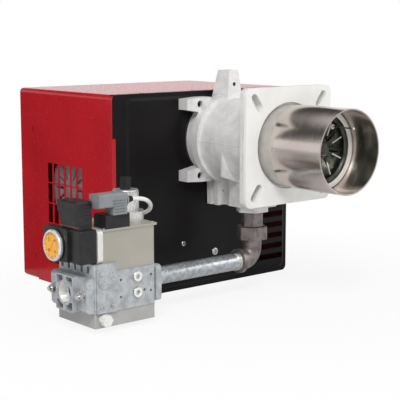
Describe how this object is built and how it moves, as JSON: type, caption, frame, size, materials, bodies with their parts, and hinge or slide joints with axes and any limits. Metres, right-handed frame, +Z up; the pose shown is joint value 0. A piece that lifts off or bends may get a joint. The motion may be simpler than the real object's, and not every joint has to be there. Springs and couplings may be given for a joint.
{
  "type": "forced-draught gas burner",
  "caption": "Forced-draught gas burner: sheet cabinet with fan, motor and air damper, cast head with boiler flange and flame tube, and a side gas train with valve and pressure switch.",
  "frame": {"origin": "centre of the cast boiler flange's machined face, behind its gasket, on the flame tube's axis", "axes": "-Y runs out along the flame tube into the boiler, +X is to the right as seen by someone who looks along +Y at the flange, +Z is up"},
  "size_m": [0.665, 0.695, 0.4415],
  "materials": {
    "red_paint": "glossy red stove enamel on folded sheet",
    "black_paint": "satin black paint on pressed sheet",
    "zinc_steel": "bright zinc-plated steel",
    "galvanised": "hot-dip galvanised, mottled",
    "cast_aluminium": "bead-blasted pressure casting",
    "motor_aluminium": "finned die casting",
    "wheel_steel": "galvanised blades and discs",
    "ground_steel": "ground shaft",
    "black_plastic": "fine-grained moulding",
    "red_plastic": "glossy moulding",
    "pale_plastic": "plain moulding",
    "white_gasket": "pressed ceramic-fibre board",
    "pale_steel": "matt drawn sheet",
    "stainless": "brushed stainless sheet with a warm tint",
    "heat_steel": "heat-proof sheet, dulled",
    "white_ceramic": "glazed porcelain",
    "malleable_iron": "black malleable iron",
    "valve_casting": "as-cast die casting",
    "grey_paint": "matt grey paint on pressed sheet",
    "warm_grey_paint": "satin warm-grey paint",
    "turned_aluminium": "turned and anodised",
    "white_plastic": "glossy moulding",
    "grey_plastic": "fine-grained moulding",
    "orange_dial": "plain moulded disc",
    "white_pvc": "smooth PVC sheath",
    "black_rubber": "soft moulding"
  },
  "bodies": {
    "burner": {"front_panel": "black_paint", "side_sleeve": "red_paint", "base_plate": "black_paint", "panel_screws": "zinc_steel", "fan_housing": "cast_aluminium", "motor_housing": "motor_aluminium", "motor_end_cap": "motor_aluminium", "inlet_ring": "wheel_steel", "air_duct": "galvanised", "damper_servo": "black_plastic", "control_box": "black_plastic", "ignition_transformer": "black_plastic", "air_pressure_switch": "pale_plastic", "head_casting": "cast_aluminium", "neck_ring": "cast_aluminium", "casting_bolts": "zinc_steel", "boiler_gasket": "white_gasket", "tube_ring": "pale_steel", "flame_tube": "stainless", "tube_screws": "zinc_steel", "feed_pipe": "heat_steel", "hex_nipple": "malleable_iron", "union_nut": "malleable_iron", "pipe_elbow": "malleable_iron", "gas_pipe": "galvanised", "valve_body": "valve_casting", "valve_lower_cover": "grey_paint", "coil_box": "warm_grey_paint", "coil_lid": "warm_grey_paint", "inlet_flange": "valve_casting", "outlet_flange": "valve_casting", "flange_nuts": "zinc_steel", "test_points": "zinc_steel", "valve_screws": "zinc_steel", "vent_cap": "white_plastic", "gas_pressure_switch": "black_plastic", "switch_plate": "turned_aluminium", "dial_bezel": "turned_aluminium", "switch_plug": "black_plastic", "coil_socket": "black_plastic", "coil_plug": "grey_plastic", "flow_adjuster": "turned_aluminium", "lead_grommets": "black_rubber", "valve_lead": "white_pvc", "switch_lead": "white_pvc"},
    "rear_cover": {"rear_cover": "red_paint", "cover_screws": "ground_steel"},
    "fan": {"fan_wheel": "wheel_steel", "motor_shaft": "ground_steel"},
    "damper": {"damper_blade": "galvanised", "damper_shaft": "ground_steel"},
    "dial": {"setting_dial": "orange_dial"},
    "knob": {"adjuster_knob": "black_plastic"},
    "burner_head": {"brake_plate": "heat_steel", "gas_nozzle": "heat_steel", "gas_lance": "heat_steel", "electrode_insulators": "white_ceramic", "electrode_rods": "ground_steel", "electrode_clamp": "heat_steel"},
    "reset": {"reset_button": "red_plastic"}
  },
  "joints": [
    {"name": "fan_spin", "type": "hinge", "parent": "burner", "child": "fan", "pos_m": [0, 0.375, -0.104], "axis": [1, 0, 0], "continuous": true},
    {"name": "damper_turn", "type": "hinge", "parent": "burner", "child": "damper", "pos_m": [0.1, 0.279, -0.2365], "axis": [1, 0, 0], "range_deg": [0, 90]},
    {"name": "cover_pull", "type": "slide", "parent": "burner", "child": "rear_cover", "axis": [0, 1, 0], "range_m": [0, 0.3]},
    {"name": "dial_turn", "type": "hinge", "parent": "burner", "child": "dial", "pos_m": [-0.46, 0.112, -0.152], "axis": [1, 0, 0], "range_deg": [-150, 150]},
    {"name": "adjuster_turn", "type": "hinge", "parent": "burner", "child": "knob", "pos_m": [-0.305, 0.104, -0.05], "axis": [0, 0, 1], "range_deg": [-180, 180]},
    {"name": "head_slide", "type": "slide", "parent": "burner", "child": "burner_head", "axis": [0, 1, 0], "range_m": [-0.01, 0.02]},
    {"name": "reset_press", "type": "slide", "parent": "burner", "child": "reset", "axis": [0, -1, 0], "range_m": [0, 0.003], "stiffness_N_per_m": 600}
  ]
}
